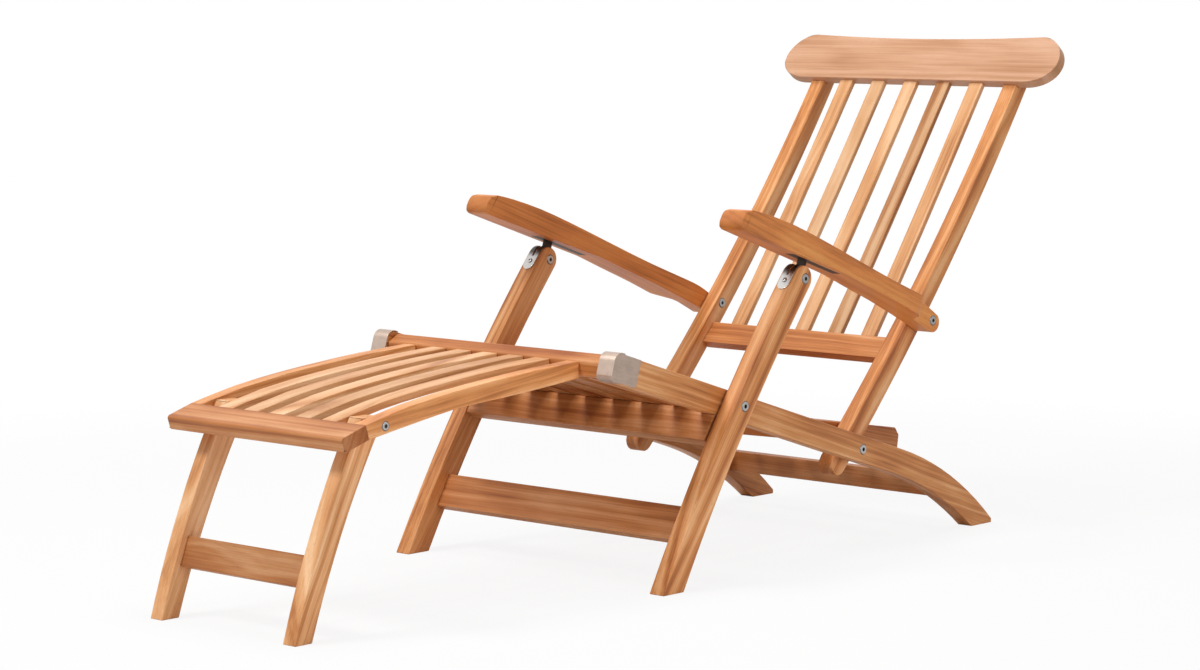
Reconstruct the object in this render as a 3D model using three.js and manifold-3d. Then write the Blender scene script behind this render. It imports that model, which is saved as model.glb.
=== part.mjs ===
// Steamer deck chair in teak, standing unfolded with its footrest on its legs.
// Lengths are in millimetres. +X is the sitter's left, -Y the footrest end, +Z up.
// Side outlines are points [y, z]; a piece of the left side is mirrored for the right side.
import * as THREE from 'three';
import { mergeVertices } from 'three/addons/utils/BufferGeometryUtils.js';
import Module from 'manifold-3d';

const wasm = await Module();
wasm.setup();

// General fits
const fitGap = 0.3;
const runningGap = 0.3;
const cutOverrun = 5;
const bowSteps = 10;
const roundSteps = 8;
const rodSides = 18;
const weldDistance = 1e-4;

// Pivots of the folding frame
const mainPivotHeight = 273;
const railSlope = THREE.MathUtils.degToRad(17.2);
const mainToBackPivot = 362.2;
const hingeToMainPivot = 266;

// Side rails
const railInnerSpread = 456;
const railThickness = 29;
const railDepth = 43;
const railNose = 18;
const railNoseRadius = 7;
const railNoseTopRadius = 14;
const railTopCurveStart = 108;
const railTopCurveRadius = 680;
const railUnderCurveStart = 95;
const railUnderCurveRadius = 700;
const railToeHeight = 7;

// Steel caps on the rail noses
const capThickness = 1.6;
const capPlateLength = 58;
const capWrapLength = 20;

// Rear stretcher
const rearStretcherThickness = 20;
const rearStretcherHeight = 36;
const rearStretcherReach = 252;
const rearStretcherRise = 74;

// Front posts
const washerGap = 4;
const postThickness = 29;
const postDepth = 42;
const postLean = THREE.MathUtils.degToRad(34.9);
const postBowRadius = 3040;
const topBoltRise = 241;
const topBoltSetback = 4;
const postCrownDrop = 3;
const postStretcherDrop = 207.5;
const postStretcherHeight = 56;
const postStretcherThickness = 19;

// Steel strap on each post top
const strapThickness = 1.6;
const strapWidth = 22;
const strapTail = 39;
const strapEndAngle = THREE.MathUtils.degToRad(44);
const strapScrewDrop = 22;
const strapScrewRadius = 4.2;
const strapScrewShankRadius = 1.8;
const strapScrewLength = 16;
const strapScrewDome = 1.8;

// Backrest stiles
const stileGap = 2;
const stileThickness = 28;
const stileRootDepth = 37;
const stileTipDepth = 28.5;
const stileLean = THREE.MathUtils.degToRad(44.65);
const stileBowRadius = 4450;
const stileHeel = 54;
const backToArmPivot = 270.4;
const armPivotAhead = 2.7;

// Backrest cross rail, slats and headrest
const backRailStart = 187;
const backRailHeight = 43;
const backRailThickness = 17.5;
const panelTurn = THREE.MathUtils.degToRad(8.55);
const backSlatSetback = 1;
const backSlatLength = 523;
const backSlatWidth = 28;
const backSlatThickness = 9.5;
const backSlatPitch = 71.4;
const backSlatBowRadius = 13000;
const headrestLength = 600;
const headrestForward = 5;
const headrestHeight = 88;
const headrestThickness = 20;
const headrestHornRise = 7;
const headrestTopInset = 50;
const headrestUnderInset = 58;
const headrestLap = 62;

// Armrests
const armLength = 579;
const armDepth = 41;
const armOuterSpread = 594;
const armFrontWidth = 46;
const armUndersideTilt = THREE.MathUtils.degToRad(3.8);
const armClearOfBolt = 31;
const armTipWidth = 35.7;
const armTipRadius = 16.5;
const armStepStart = 92;
const armStepEnd = 44;
const armTopShares = [
  [0.965, 0.88], [0.9, 0.965], [0.784, 1], [0.66, 0.92], [0.54, 0.8], [0.4, 0.65], [0.28, 0.54],
  [0.16, 0.47], [0.08, 0.42], [0.03, 0.32],
];
const armNoseShares = [[0.99, 0.7], [1, 0.33], [0.997, 0.08], [0.985, 0]];
const armBellyShares = [[0.5, 0], [0.37, -0.12], [0.25, -0.22], [0.14, -0.36], [0.07, -0.46]];
const armTipCentreShares = [-0.005, -0.2];

// Steel bracket under each arm
const bracketThickness = 3;
const bracketLeafWidth = 16;
const bracketLeafFront = 34;
const bracketLeafRear = 92;
const bracketTongueWidth = 20;
const bracketEyeRadius = 11;
const bracketPlay = 2;

// Seat
const seatSlope = THREE.MathUtils.degToRad(9.04);
const seatFrontReach = 387;
const seatRearReach = 177;
const seatRearChamfer = 12;
const seatFrontRise = THREE.MathUtils.degToRad(7.96);
const seatOverhang = 205;
const seatBowReach = 98;
const seatRailThickness = 28;
const seatRailDepth = 35;
const seatSlatWidth = 40;
const seatSlatPitch = 60;
const seatSlatThickness = 17;
const seatBoardHeight = 53;
const seatBoardThickness = 20;
const seatBoardLean = THREE.MathUtils.degToRad(35.8);
const seatBattenDepth = 34;
const seatBattenThickness = 16;
const seatBattenInset = 46;

// Footrest
const footrestSpread = 374;
const footrestRailThickness = 24;
const footrestRailLength = 448;
const footrestDrop = 55;
const footrestTopShares = [[0, 0.044], [0.229, 0.15], [0.412, 0.275], [0.6, 0.43], [0.807, 0.665], [1, 1]];
const footrestUnderShares = [[0.985, 1.4], [0.627, 0.94], [0.506, 0.845], [0.279, 0.72], [0, 0.514]];
const footrestSlatWidth = 31;
const footrestSlatToLegGap = 3.5;
const footrestSlatThickness = 11;
const footrestBoardDepth = 50;
const footrestBoardThickness = 23;
const footrestBoardTilt = THREE.MathUtils.degToRad(17.4);
const footrestBoardEdgeRadius = 5;
const hingeBarDepth = 24;
const hingeBarHeight = 35;
const hingeBarBehindAxis = 8;
const hingeBarAboveRails = 9;
const hingeBarAboveAxis = 18.4;
const hingeBarCornerRadius = 4;
const hingeBarFrontDrop = 9.5;
const hingeBarEndGap = 2;
const hingePinRadius = 6;
const hingePinLength = 14;

// Footrest legs
const legThickness = 26;
const legWidth = 40;
const legFootWidth = 32;
const legCrownRise = 10.5;
const legLean = THREE.MathUtils.degToRad(29.5);
const legBowRadius = 1500;
const legScrewDrop = 51;
const legToRailGap = 7;
const legStretcherRise = 95;
const legStretcherHeight = 46;
const legStretcherThickness = 20;

// Bolts
const boltRadius = 5;
const boltHeadRadius = 8.5;
const boltHeadThickness = 5;
const boltHeadRecess = 4;
const boltHeadDome = 1.2;
const boltSocketRadius = 3;
const boltSocketDepth = 2.6;
const topBoltRadius = 4;
const screwHeadRadius = 7;
const washerRadius = 15;

// Faces across the chair, counted outwards from the middle
const railInnerX = railInnerSpread / 2;
const railOuterX = railInnerX + railThickness;
const postInnerX = railOuterX + washerGap;
const postOuterX = postInnerX + postThickness;
const postMidX = postInnerX + postThickness / 2;
const stileOuterX = railInnerX - stileGap;
const stileInnerX = stileOuterX - stileThickness;
const seatRailOuterX = stileInnerX - stileGap;
const seatRailInnerX = seatRailOuterX - seatRailThickness;
const armInnerX = stileOuterX + stileGap / 2;
const armOuterX = armOuterSpread / 2;
const footrestOuterX = footrestSpread / 2;
const footrestInnerX = footrestOuterX - footrestRailThickness;
const legOuterX = footrestInnerX - legToRailGap;
const legInnerX = legOuterX - legThickness;
const footrestSlatPitch = (legInnerX - footrestSlatToLegGap - footrestSlatWidth / 2) / 2;

// Turn a side vector so that its first direction slopes down towards the back by an angle.
function turned([y, z], slope) {
  const cos = Math.cos(slope);
  const sin = Math.sin(slope);
  return [y * cos + z * sin, z * cos - y * sin];
}

function plus([y1, z1], [y2, z2]) {
  return [y1 + y2, z1 + z2];
}

// A point beside a bowed centre line that leaves the origin upwards.
// A positive radius bends it backwards, a negative one forwards; offset is towards the back.
function bowPoint(radius, distance, offset) {
  const angle = distance / radius;
  return [radius - (radius - offset) * Math.cos(angle), (radius - offset) * Math.sin(angle)];
}

// How far along a bowed piece its edge at an offset lies below its origin by a drop,
// where the piece leans back by an angle at its origin.
function bowReach(radius, lean, drop, offset) {
  const sine = (radius * Math.sin(lean) - drop) / (radius - offset);
  return radius * (Math.asin(sine) - lean);
}

// The edge may end at another offset, so that the piece tapers.
function bowEdge(radius, offset, from, to, endOffset = offset) {
  const { lerp } = THREE.MathUtils;
  return steps(bowSteps, (share) => bowPoint(radius, lerp(from, to, share), lerp(offset, endOffset, share)));
}

function steps(count, make) {
  return Array.from({ length: count + 1 }, (_, index) => make(index / count));
}

function arcPoints([y, z], radius, from, to, count = roundSteps) {
  return steps(count, (share) => {
    const angle = THREE.MathUtils.lerp(from, to, share);
    return [y + radius * Math.cos(angle), z + radius * Math.sin(angle)];
  });
}

function smooth(points, divisions) {
  const curve = new THREE.SplineCurve(points.map(([y, z]) => new THREE.Vector2(y, z)));
  return curve.getPoints(divisions).map((point) => [point.x, point.y]);
}

// Solids
function toSolid(geometry) {
  const bare = new THREE.BufferGeometry();
  bare.setAttribute('position', geometry.getAttribute('position').clone());
  if (geometry.index) bare.setIndex(geometry.index.clone());
  const merged = mergeVertices(bare, weldDistance);
  const mesh = new wasm.Mesh({
    numProp: 3,
    vertProperties: new Float32Array(merged.getAttribute('position').array),
    triVerts: new Uint32Array(merged.index.array),
  });
  mesh.merge();
  return new wasm.Manifold(mesh);
}

function toGeometry(solid) {
  const mesh = solid.getMesh();
  const geometry = new THREE.BufferGeometry();
  geometry.setAttribute('position', new THREE.BufferAttribute(new Float32Array(mesh.vertProperties), 3));
  geometry.setIndex(new THREE.BufferAttribute(new Uint32Array(mesh.triVerts), 1));
  return geometry;
}

function mirrored(geometry) {
  const copy = geometry.clone().applyMatrix4(new THREE.Matrix4().makeScale(-1, 1, 1));
  const { array } = copy.index;
  for (let corner = 0; corner < array.length; corner += 3) {
    [array[corner], array[corner + 1]] = [array[corner + 1], array[corner]];
  }
  return copy;
}

// A side outline given thickness between two faces across the chair.
function sideSolid(outline, fromX, toX) {
  const shape = new THREE.Shape(outline.map(([y, z]) => new THREE.Vector2(y, z)));
  const geometry = new THREE.ExtrudeGeometry(shape, { depth: toX - fromX, bevelEnabled: false });
  const axes = new THREE.Matrix4().makeBasis(
    new THREE.Vector3(0, 1, 0),
    new THREE.Vector3(0, 0, 1),
    new THREE.Vector3(1, 0, 0),
  );
  geometry.applyMatrix4(axes);
  geometry.translate(fromX, 0, 0);
  return toSolid(geometry);
}

// A plan shape in x and y, given height between two levels.
function planSolid(shape, fromZ, toZ) {
  const geometry = new THREE.ExtrudeGeometry(shape, { depth: toZ - fromZ, bevelEnabled: false });
  geometry.translate(0, 0, fromZ);
  return toSolid(geometry);
}

// A front shape in x and z, given thickness towards the back.
function frontSolid(shape, fromY, toY) {
  const geometry = new THREE.ExtrudeGeometry(shape, { depth: toY - fromY, bevelEnabled: false });
  geometry.rotateX(Math.PI / 2);
  geometry.translate(0, toY, 0);
  return toSolid(geometry);
}

function boxSolid([x1, x2], [y1, y2], [z1, z2]) {
  const geometry = new THREE.BoxGeometry(x2 - x1, y2 - y1, z2 - z1);
  geometry.translate((x1 + x2) / 2, (y1 + y2) / 2, (z1 + z2) / 2);
  return toSolid(geometry);
}

// A body of revolution on a cross axis; profile points are [radius, x].
function crossLathe(profile, [y, z]) {
  const geometry = new THREE.LatheGeometry(profile.map(([r, x]) => new THREE.Vector2(r, x)), rodSides);
  geometry.rotateZ(-Math.PI / 2);
  geometry.translate(0, y, z);
  return toSolid(geometry);
}

function crossRod(radius, fromX, toX, place) {
  return crossLathe([[0, fromX], [radius, fromX], [radius, toX], [0, toX]], place);
}

// The hole for a bolt, with the recess for its head when the outer or inner face carries one.
function boltHole(place, innerX, outerX, recessed = {}, radius = boltRadius) {
  let hole = crossRod(radius + runningGap, innerX - cutOverrun, outerX + cutOverrun, place);
  const recessRadius = (recessed.radius ?? boltHeadRadius) + fitGap;
  const depth = boltHeadRecess + fitGap;
  if (recessed.outer) {
    hole = hole.add(crossRod(recessRadius, outerX - depth, outerX + cutOverrun, place));
  }
  if (recessed.inner) {
    hole = hole.add(crossRod(recessRadius, innerX - cutOverrun, innerX + depth, place));
  }
  return hole;
}

// A bolt with a domed socket head in the outer face and a plain cap in the inner face.
function boltSolid(place, innerX, outerX, radius = boltRadius, headRadius = boltHeadRadius) {
  const headBase = outerX - boltHeadRecess;
  const headFace = headBase + boltHeadThickness - boltHeadDome;
  const capBase = innerX + boltHeadRecess;
  const capFace = capBase - boltHeadThickness + boltHeadDome;
  return crossLathe([
    [0, capFace - boltHeadDome],
    [headRadius - boltHeadDome, capFace - boltHeadDome],
    [headRadius, capFace],
    [headRadius, capBase],
    [radius, capBase],
    [radius, headBase],
    [headRadius, headBase],
    [headRadius, headFace],
    [headRadius - boltHeadDome, headFace + boltHeadDome],
    [boltSocketRadius, headFace + boltHeadDome],
    [boltSocketRadius, headFace + boltHeadDome - boltSocketDepth],
    [0, headFace + boltHeadDome - boltSocketDepth],
  ], place);
}

// Naming, colouring and placing
function timber(colour) {
  return new THREE.MeshStandardMaterial({ color: colour, roughness: 0.55, metalness: 0 });
}

function steel() {
  return new THREE.MeshStandardMaterial({ color: 0xb4b2b0, roughness: 0.35, metalness: 1 });
}

const honey = 0xc98a50;
const rose = 0xbb7648;
const straw = 0xd79d66;

function place(group, name, solid, material) {
  const mesh = new THREE.Mesh(toGeometry(solid), material);
  mesh.name = name;
  group.add(mesh);
}

function placePair(group, name, solid, makeMaterial) {
  const geometry = toGeometry(solid);
  const left = new THREE.Mesh(geometry, makeMaterial());
  left.name = `${name}_left`;
  const right = new THREE.Mesh(mirrored(geometry), makeMaterial());
  right.name = `${name}_right`;
  group.add(left, right);
}

function bodyGroup(parent, [y, z], turn = 0) {
  const group = new THREE.Group();
  group.position.set(0, y, z);
  group.rotation.x = turn;
  parent.add(group);
  return group;
}

// Places of the pivots, counted from the main pivot
const mainPivot = [0, 0];
const floorZ = -mainPivotHeight;
const backPivot = turned([mainToBackPivot, 0], railSlope);
const hingePivot = turned([-hingeToMainPivot, 0], railSlope);
const topPivotOnPost = bowPoint(postBowRadius, topBoltRise, topBoltSetback);
const topPivot = turned(topPivotOnPost, postLean);
const armPivotOnStile = bowPoint(-stileBowRadius, backToArmPivot, -armPivotAhead);
const armPivot = plus(backPivot, turned(armPivotOnStile, stileLean));

// Side rails: straight past both pivots, then two arcs down to a flared foot on the floor
function railPoint(distance, offset) {
  return turned([distance, offset], railSlope);
}

// The arc that runs on from a sloping edge down to a level, bending further down.
function fallingArc([y, z], radius, endZ) {
  const endSlope = Math.acos(Math.cos(railSlope) - (z - endZ) / radius);
  return steps(bowSteps, (share) => {
    const slope = THREE.MathUtils.lerp(railSlope, endSlope, share);
    return [
      y + radius * (Math.sin(slope) - Math.sin(railSlope)),
      z - radius * (Math.cos(railSlope) - Math.cos(slope)),
    ];
  });
}

const railFrontEnd = -hingeToMainPivot - railNose;

function railNoseOutline(grow) {
  const edge = railDepth / 2 + grow;
  const front = railFrontEnd - grow;
  const radius = railNoseRadius + grow;
  const topRadius = railNoseTopRadius + grow;
  const upper = arcPoints([front + topRadius, edge - topRadius], topRadius, Math.PI, Math.PI / 2);
  const lower = arcPoints([front + radius, radius - edge], radius, 1.5 * Math.PI, Math.PI);
  return { upper, lower };
}

function railOutline() {
  const { upper, lower } = railNoseOutline(0);
  const edge = railDepth / 2;
  const topStart = railPoint(mainToBackPivot + railTopCurveStart, edge);
  const underStart = railPoint(mainToBackPivot + railUnderCurveStart, -edge);
  const top = fallingArc(topStart, railTopCurveRadius, floorZ + railToeHeight);
  const under = fallingArc(underStart, railUnderCurveRadius, floorZ);
  const [toeY] = top.at(-1);
  const noseSide = (points) => points.map(([y, z]) => railPoint(y, z));
  return [...noseSide(lower), ...noseSide(upper), ...top, [toeY, floorZ], ...under.reverse()];
}

function sideRail() {
  const blank = sideSolid(railOutline(), railInnerX, railOuterX);
  const hingeHole = crossRod(hingePinRadius + runningGap, railInnerX - cutOverrun,
    railInnerX + hingePinLength, hingePivot);
  return blank
    .subtract(boltHole(mainPivot, railInnerX, railOuterX, { inner: true }))
    .subtract(boltHole(backPivot, railInnerX, railOuterX, { outer: true }))
    .subtract(hingeHole);
}

function railCap() {
  const shell = railNoseOutline(capThickness + fitGap);
  const core = railNoseOutline(fitGap);
  const rearEnd = railFrontEnd + capPlateLength;
  const wrapEnd = railFrontEnd + capWrapLength;
  const place2d = (points) => points.map(([y, z]) => railPoint(y, z));
  const closed = ({ upper, lower }, grow, end) => place2d([
    ...lower, ...upper, [end, railDepth / 2 + grow], [end, -railDepth / 2 - grow],
  ]);
  const outerFace = railOuterX + fitGap;
  const plate = sideSolid(closed(core, fitGap, rearEnd), outerFace, outerFace + capThickness);
  const band = sideSolid(closed(shell, capThickness + fitGap, wrapEnd), railInnerX, outerFace + capThickness)
    .subtract(sideSolid(closed(core, fitGap, wrapEnd + cutOverrun), railInnerX - cutOverrun, outerFace));
  return plate.add(band);
}

function rearStretcher() {
  const half = railInnerX - fitGap;
  const [y] = plus(backPivot, [rearStretcherReach, 0]);
  const z = floorZ + rearStretcherRise;
  return boxSolid(
    [-half, half],
    [y - rearStretcherThickness / 2, y + rearStretcherThickness / 2],
    [z - rearStretcherHeight / 2, z + rearStretcherHeight / 2],
  );
}

function mainWasher() {
  return crossLathe([
    [boltRadius + runningGap, railOuterX + fitGap],
    [washerRadius, railOuterX + fitGap],
    [washerRadius, postInnerX - fitGap],
    [boltRadius + runningGap, postInnerX - fitGap],
    [boltRadius + runningGap, railOuterX + fitGap],
  ], mainPivot);
}

// The back bolt runs on inwards past the stile, where the seat's bearers rest on it.
function backBolt() {
  const headBase = railOuterX - boltHeadRecess;
  const headFace = headBase + boltHeadThickness - boltHeadDome;
  return crossLathe([
    [0, seatRailInnerX],
    [boltRadius, seatRailInnerX],
    [boltRadius, headBase],
    [boltHeadRadius, headBase],
    [boltHeadRadius, headFace],
    [boltHeadRadius - boltHeadDome, headFace + boltHeadDome],
    [boltSocketRadius, headFace + boltHeadDome],
    [boltSocketRadius, headFace + boltHeadDome - boltSocketDepth],
    [0, headFace + boltHeadDome - boltSocketDepth],
  ], backPivot);
}

function buildSideFrame(parent) {
  placePair(parent, 'side_rail', sideRail(), () => timber(honey));
  placePair(parent, 'rail_cap', railCap(), steel);
  place(parent, 'rear_stretcher', rearStretcher(), timber(rose));
  placePair(parent, 'main_washer', mainWasher(), steel);
  placePair(parent, 'main_bolt', boltSolid(mainPivot, railInnerX, postOuterX), steel);
  placePair(parent, 'back_bolt', backBolt(), steel);
}

// Seat: bearers and slats over a board that leans like the posts, and a hidden batten.
// Its points are counted from the back pivot, along the seat and square to it.
const seatTopZ = boltRadius + fitGap + seatRailDepth;
const seatBoardTurn = seatBoardLean - seatSlope;

function seatPoint(y, z) {
  return plus(backPivot, turned([y, z], seatSlope));
}

// Where the back face of the front board lies at a depth below the seat's top.
function behindBoard(depth, gap) {
  const face = (seatBoardThickness + gap) / Math.cos(seatBoardTurn) - seatFrontReach;
  return face - depth * Math.tan(seatBoardTurn);
}

// The seat lies on the board's front edge and rises on beyond it; a bow joins it to the rear part.
const seatFrontLift = (seatSlatThickness + fitGap) / Math.cos(seatFrontRise);
const seatBowMiddle = seatFrontLift / Math.tan(seatFrontRise) - seatFrontReach;
const seatBowRadius = seatBowReach / Math.tan(seatFrontRise / 2);
const boardTopWidth = seatBoardThickness / Math.cos(seatBoardTurn);
const boardTopSlant = Math.tan(seatFrontRise) / (1 + Math.tan(seatFrontRise) * Math.tan(seatBoardTurn));

// How far the board's rear top corner, or what butts against it, lies below its front one.
function boardTopDrop(gap) {
  return (boardTopWidth + gap) * boardTopSlant;
}

// The seat's top line from front to back, lowered square to itself.
function seatLine(depth) {
  const radius = seatBowRadius + depth;
  const middle = [seatBowMiddle + seatBowReach, seatTopZ + seatBowRadius];
  const down = -Math.PI / 2;
  const bow = arcPoints(middle, radius, down - seatFrontRise, down, bowSteps);
  const bowStart = seatBowMiddle - seatBowReach * Math.cos(seatFrontRise);
  const forward = (seatFrontReach + seatOverhang + bowStart) / Math.cos(seatFrontRise);
  const end = plus(bow[0], [-forward * Math.cos(seatFrontRise), forward * Math.sin(seatFrontRise)]);
  return [end, ...bow];
}

const seatRearOutline = [
  [seatRearReach, seatTopZ - seatRearChamfer],
  [seatRearReach - seatRearChamfer, seatTopZ],
];

function seatSlat(middle) {
  const outline = [
    ...seatLine(seatSlatThickness),
    [seatRearReach, seatTopZ - seatSlatThickness],
    ...seatRearOutline,
    ...seatLine(0).reverse(),
  ].map(([y, z]) => seatPoint(y, z));
  return sideSolid(outline, middle - seatSlatWidth / 2, middle + seatSlatWidth / 2);
}

// The outer bearers are as thick as the slats over the board and deeper behind it.
function seatSideRail() {
  const drop = boardTopDrop(fitGap);
  const outline = [
    seatLine(seatSlatThickness)[0],
    [behindBoard(drop, fitGap), seatTopZ - drop + fitGap],
    [behindBoard(seatRailDepth, fitGap), seatTopZ - seatRailDepth],
    [seatRearReach, seatTopZ - seatRailDepth],
    ...seatRearOutline,
    ...seatLine(0).reverse(),
  ].map(([y, z]) => seatPoint(y, z));
  return sideSolid(outline, seatRailInnerX, seatRailOuterX);
}

function seatBoard() {
  const down = [-Math.sin(seatBoardTurn) * seatBoardHeight, -Math.cos(seatBoardTurn) * seatBoardHeight];
  const back = [Math.cos(seatBoardTurn) * seatBoardThickness, -Math.sin(seatBoardTurn) * seatBoardThickness];
  const [footY, footZ] = plus([-seatFrontReach, seatTopZ], down);
  const [heelY, heelZ] = plus([footY, footZ], back);
  const outline = [
    seatPoint(-seatFrontReach, seatTopZ),
    seatPoint(footY, footZ),
    seatPoint(heelY, heelZ),
    seatPoint(behindBoard(boardTopDrop(0), 0), seatTopZ - boardTopDrop(0)),
  ];
  const edge = railDepth / 2 + fitGap;
  const railPath = [
    railPoint(railFrontEnd, -edge),
    railPoint(mainToBackPivot, -edge),
    railPoint(mainToBackPivot, edge),
    railPoint(railFrontEnd, edge),
  ];
  const notch = sideSolid(railPath, railInnerX - fitGap, railOuterX + cutOverrun);
  const otherNotch = sideSolid(railPath, -railOuterX - cutOverrun, -railInnerX + fitGap);
  return sideSolid(outline, -railOuterX, railOuterX).subtract(notch).subtract(otherNotch);
}

function seatBatten() {
  const top = seatTopZ - seatSlatThickness - fitGap;
  const rear = seatRearReach - seatBattenInset;
  const half = seatRailInnerX - fitGap;
  return sideSolid([
    seatPoint(rear, top),
    seatPoint(rear - seatBattenDepth, top),
    seatPoint(rear - seatBattenDepth, top - seatBattenThickness),
    seatPoint(rear, top - seatBattenThickness),
  ], -half, half);
}

function buildSeat(parent) {
  place(parent, 'seat_front_board', seatBoard(), timber(rose));
  place(parent, 'seat_rear_batten', seatBatten(), timber(honey));
  placePair(parent, 'seat_side_rail', seatSideRail(), () => timber(honey));
  slatMiddles(seatSlatPitch).forEach((middle, index) => {
    place(parent, `seat_slat_${index + 1}`, seatSlat(middle), timber(straw));
  });
}

// Five slats side by side, the middle one on the chair's middle.
function slatMiddles(pitch) {
  return [-2, -1, 0, 1, 2].map((count) => count * pitch);
}

// Front posts: bowed, with a round crown that is sawn for the arm bracket's tongue
const crownRise = topBoltRise - postCrownDrop;
const slotHalf = bracketThickness / 2 + runningGap;
const slotFloor = topPivotOnPost[1] - bracketEyeRadius - bracketPlay - runningGap;

function postCrown(radius, from, to) {
  const centre = bowPoint(postBowRadius, crownRise, 0);
  const turn = -crownRise / postBowRadius;
  return arcPoints(centre, radius, from + turn, to + turn, 2 * roundSteps);
}

function frontPost() {
  const half = postDepth / 2;
  const floorReach = (offset) => bowReach(postBowRadius, postLean, mainPivotHeight, offset);
  const outline = [
    ...bowEdge(postBowRadius, -half, floorReach(-half), crownRise),
    ...postCrown(half, Math.PI, 0).slice(1, -1),
    ...bowEdge(postBowRadius, half, crownRise, floorReach(half)),
  ];
  const slot = boxSolid(
    [postMidX - slotHalf, postMidX + slotHalf],
    [-postDepth, postDepth + topBoltSetback],
    [slotFloor, topBoltRise + postDepth],
  );
  return sideSolid(outline, postInnerX, postOuterX)
    .subtract(boltHole(mainPivot, postInnerX, postOuterX, { outer: true }))
    .subtract(boltHole(topPivotOnPost, postInnerX, postOuterX, { outer: true, inner: true }, topBoltRadius))
    .subtract(slot)
    .subtract(strapScrewSolid(runningGap));
}

function postStretcher() {
  const half = postInnerX - fitGap;
  const top = -postStretcherDrop + postStretcherHeight / 2;
  const under = -postStretcherDrop - postStretcherHeight / 2;
  return sideSolid([
    bowPoint(postBowRadius, under, 0),
    bowPoint(postBowRadius, top, 0),
    bowPoint(postBowRadius, top, postStretcherThickness),
    bowPoint(postBowRadius, under, postStretcherThickness),
  ], -half, half);
}

// A steel strap up the front face and over the crown, forked for the tongue.
function postStrap() {
  const inner = postDepth / 2 + fitGap;
  const outer = inner + strapThickness;
  const tail = topBoltRise - strapTail;
  const end = Math.PI / 2 + strapEndAngle;
  const outline = [
    ...bowEdge(postBowRadius, -outer, tail, crownRise),
    ...postCrown(outer, Math.PI, end).slice(1),
    ...postCrown(inner, end, Math.PI).slice(0, -1),
    ...bowEdge(postBowRadius, -inner, crownRise, tail),
  ];
  const fork = boxSolid(
    [postMidX - slotHalf, postMidX + slotHalf],
    [-postDepth, 0],
    [topPivotOnPost[1] - bracketTongueWidth / 2, topBoltRise + postDepth],
  );
  return sideSolid(outline, postMidX - strapWidth / 2, postMidX + strapWidth / 2)
    .subtract(fork)
    .subtract(strapScrewSolid(runningGap));
}

// The screw through the strap, square to the post's front face; grow widens it into its hole.
function strapScrewSolid(grow = 0) {
  const reach = topBoltRise - strapScrewDrop;
  const face = postDepth / 2 + strapThickness + 2 * fitGap;
  const headTop = -face - strapScrewDome;
  const hole = [
    [0, -face - cutOverrun],
    [strapScrewShankRadius + grow, -face - cutOverrun],
    [strapScrewShankRadius + grow, strapScrewLength - face + grow],
    [0, strapScrewLength - face + grow],
  ];
  const screw = [
    [0, headTop],
    [strapScrewRadius - strapScrewDome, headTop],
    [strapScrewRadius, -face - strapScrewDome / 2],
    [strapScrewRadius, -face],
    [strapScrewShankRadius, -face],
    [strapScrewShankRadius, strapScrewLength - face],
    [0, strapScrewLength - face],
  ];
  const profile = grow > 0 ? hole : screw;
  const geometry = new THREE.LatheGeometry(profile.map(([r, y]) => new THREE.Vector2(r, y)), rodSides);
  geometry.rotateX(-reach / postBowRadius);
  const [y, z] = bowPoint(postBowRadius, reach, 0);
  geometry.translate(postMidX, y, z);
  return toSolid(geometry);
}

function buildPosts(parent) {
  const posts = bodyGroup(parent, mainPivot, -postLean);
  placePair(posts, 'front_post', frontPost(), () => timber(honey));
  place(posts, 'post_stretcher', postStretcher(), timber(rose));
  placePair(posts, 'post_strap', postStrap(), steel);
  placePair(posts, 'strap_screw', strapScrewSolid(), steel);
  const topBolt = boltSolid(topPivotOnPost, postInnerX, postOuterX, topBoltRadius);
  placePair(posts, 'post_top_bolt', topBolt, steel);
}

// Backrest: bowed tapering stiles, a cross rail, and a panel of bowed slats with a headrest
const backRailTop = backRailStart + backRailHeight;
const panelOrigin = bowPoint(-stileBowRadius, backRailTop, 0);

// A point of the panel plane: how far up from the cross rail, and how far behind its front.
function panelPoint(along, behind) {
  return plus(panelOrigin, turned([behind, along], -panelTurn));
}

const [, stileTopZ] = panelPoint(backSlatLength + headrestLap, 0);
const stileLength = stileBowRadius * Math.asin(stileTopZ / stileBowRadius);

function stilePoint(distance, side) {
  const depth = THREE.MathUtils.lerp(stileRootDepth, stileTipDepth, Math.max(distance, 0) / stileLength);
  return bowPoint(-stileBowRadius, distance, side * depth / 2);
}

function stile() {
  const heelRadius = stileRootDepth / 2;
  const heel = bowPoint(-stileBowRadius, heelRadius - stileHeel, 0);
  const edge = (side) => steps(2 * bowSteps, (share) => (
    stilePoint(THREE.MathUtils.lerp(heelRadius - stileHeel, stileLength, share), side)
  ));
  const outline = [
    ...edge(-1).reverse(),
    ...arcPoints(heel, heelRadius, Math.PI, 2 * Math.PI).slice(1, -1),
    ...edge(1),
  ];
  const lapTop = backSlatLength + headrestHeight;
  const lapBack = headrestThickness - headrestForward + fitGap;
  const lap = sideSolid([
    panelPoint(backSlatLength - fitGap, -postDepth),
    panelPoint(backSlatLength - fitGap, lapBack),
    panelPoint(lapTop, lapBack),
    panelPoint(lapTop, -postDepth),
  ], stileInnerX - cutOverrun, stileOuterX + cutOverrun);
  return sideSolid(outline, stileInnerX, stileOuterX)
    .subtract(boltHole(mainPivot, stileInnerX, stileOuterX))
    .subtract(boltHole(armPivotOnStile, stileInnerX, stileOuterX, { inner: true }))
    .subtract(lap);
}

function backRail() {
  const half = stileInnerX - fitGap;
  return sideSolid([
    bowPoint(-stileBowRadius, backRailStart, 0),
    bowPoint(-stileBowRadius, backRailTop, 0),
    bowPoint(-stileBowRadius, backRailTop, backRailThickness),
    bowPoint(-stileBowRadius, backRailStart, backRailThickness),
  ], -half, half);
}

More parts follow.
